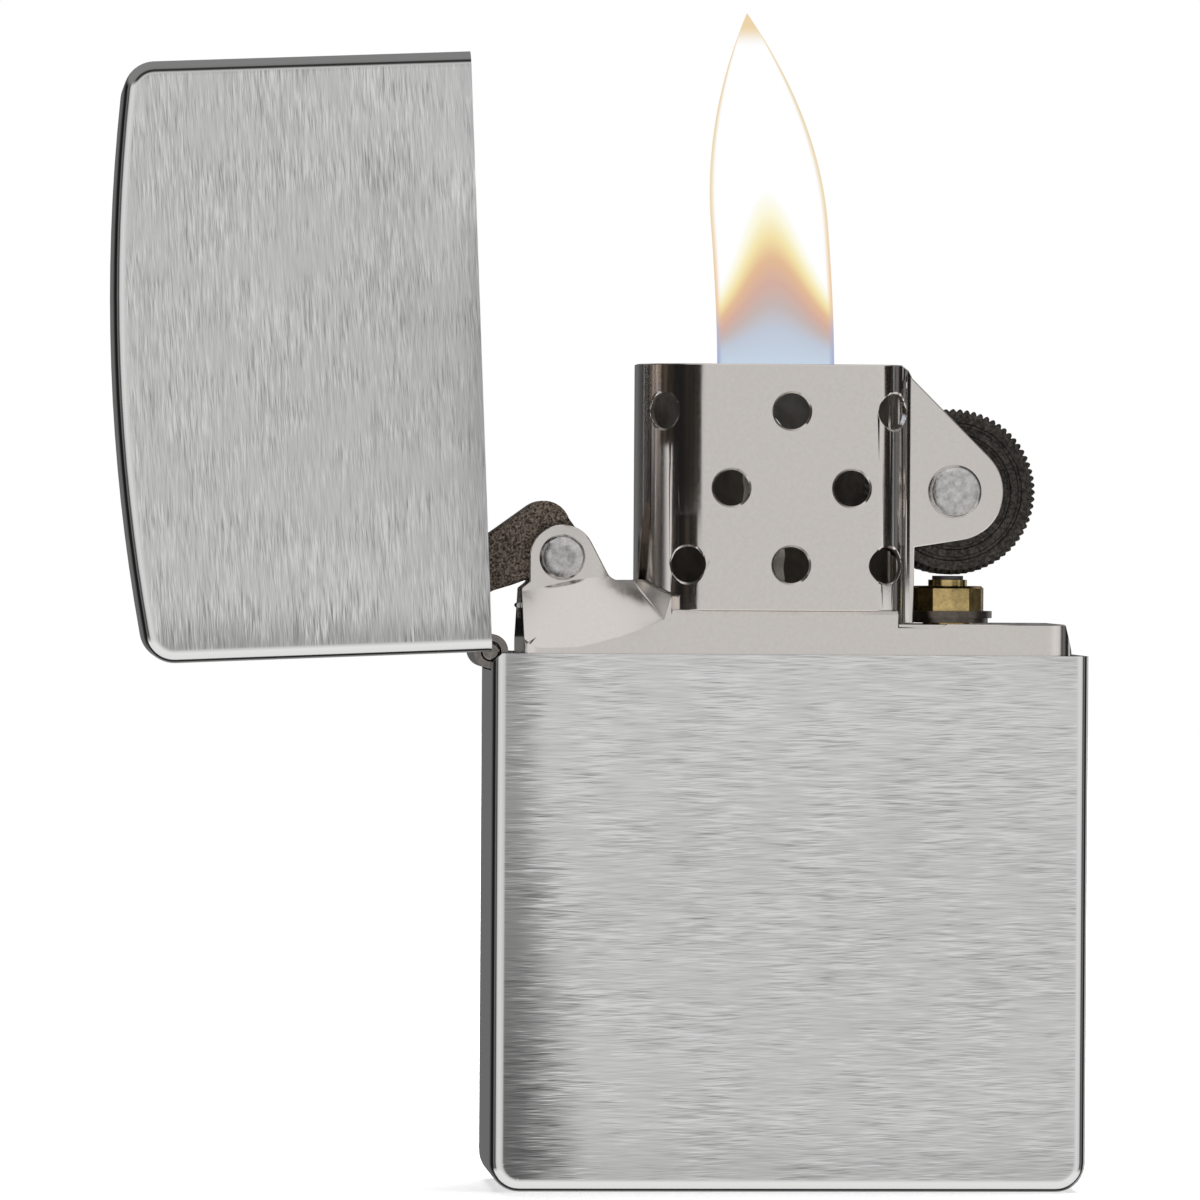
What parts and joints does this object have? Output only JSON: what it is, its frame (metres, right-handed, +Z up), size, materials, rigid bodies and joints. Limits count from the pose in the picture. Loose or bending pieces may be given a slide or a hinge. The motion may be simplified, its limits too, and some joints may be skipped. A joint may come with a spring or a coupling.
{
  "type": "flip-top petrol lighter",
  "caption": "Flip-top windproof petrol lighter, lid open: brushed case and hinged lid, removable insert with perforated windscreen, snap cam and knurled flint wheel.",
  "frame": {"origin": "middle of the case's flat base", "axes": "+X from the hinge towards the flint wheel, +Y towards the back, +Z up out of the case"},
  "size_m": [0.0623, 0.0126, 0.0724],
  "materials": {
    "brushed_chrome": "brushed",
    "hinge_chrome": "polished",
    "insert_steel": "warm nickel, satin",
    "rivet_steel": "mottled",
    "wheel_steel": "hardened, knurled",
    "cam_steel": "sintered, matte",
    "brass": "turned",
    "washer_steel": "dark",
    "spring_steel": "drawn",
    "flint": "matte",
    "cotton": "fibre",
    "felt": "felt",
    "wick": "braided"
  },
  "bodies": {
    "case": {"case_shell": "brushed_chrome", "case_hinge_leaf": "hinge_chrome", "hinge_pin": "hinge_chrome"},
    "lid": {"lid_shell": "brushed_chrome", "lid_hinge_leaf": "hinge_chrome"},
    "insert": {"insert_shell": "insert_steel", "top_plate": "insert_steel", "cam_spring": "spring_steel", "cam_spring_rivet": "rivet_steel", "cam_rivet": "rivet_steel", "wheel_rivet": "rivet_steel", "flint_tube": "brass", "tube_collar": "brass", "tube_washer": "washer_steel", "flint_screw": "brass", "flint_spring": "spring_steel", "wick": "wick", "felt_pad": "felt", "cotton_wad_1": "cotton", "cotton_wad_2": "cotton", "cotton_wad_3": "cotton", "cotton_wad_4": "cotton", "cotton_wad_5": "cotton"},
    "cam": {"cam": "cam_steel"},
    "flint_wheel": {"flint_wheel": "wheel_steel"},
    "flint": {"flint": "flint", "spring_tip": "brass"}
  },
  "joints": [
    {"name": "lid_hinge", "type": "hinge", "parent": "case", "child": "lid", "pos_m": [-0.01905, 0, 0.0343], "axis": [0, -1, 0], "range_deg": [-92.4, 7.6]},
    {"name": "insert_slide", "type": "slide", "parent": "case", "child": "insert", "axis": [0, 0, 1], "range_m": [0, 0.0025]},
    {"name": "cam_pivot", "type": "hinge", "parent": "insert", "child": "cam", "pos_m": [-0.0144, 0, 0.0403], "axis": [0, -1, 0], "range_deg": [-93, 9]},
    {"name": "wheel_spin", "type": "hinge", "parent": "insert", "child": "flint_wheel", "pos_m": [0.0106, 0, 0.04465], "axis": [0, -1, 0], "continuous": true},
    {"name": "flint_feed", "type": "slide", "parent": "insert", "child": "flint", "axis": [0, 0, 1], "range_m": [-0.002, 0], "stiffness_N_per_m": 250, "springref_m": 0.002, "deforming": ["flint_spring"]}
  ],
  "couplings": [
    {"joint": "cam_pivot", "follows": "lid_hinge", "ratio": 1}
  ]
}
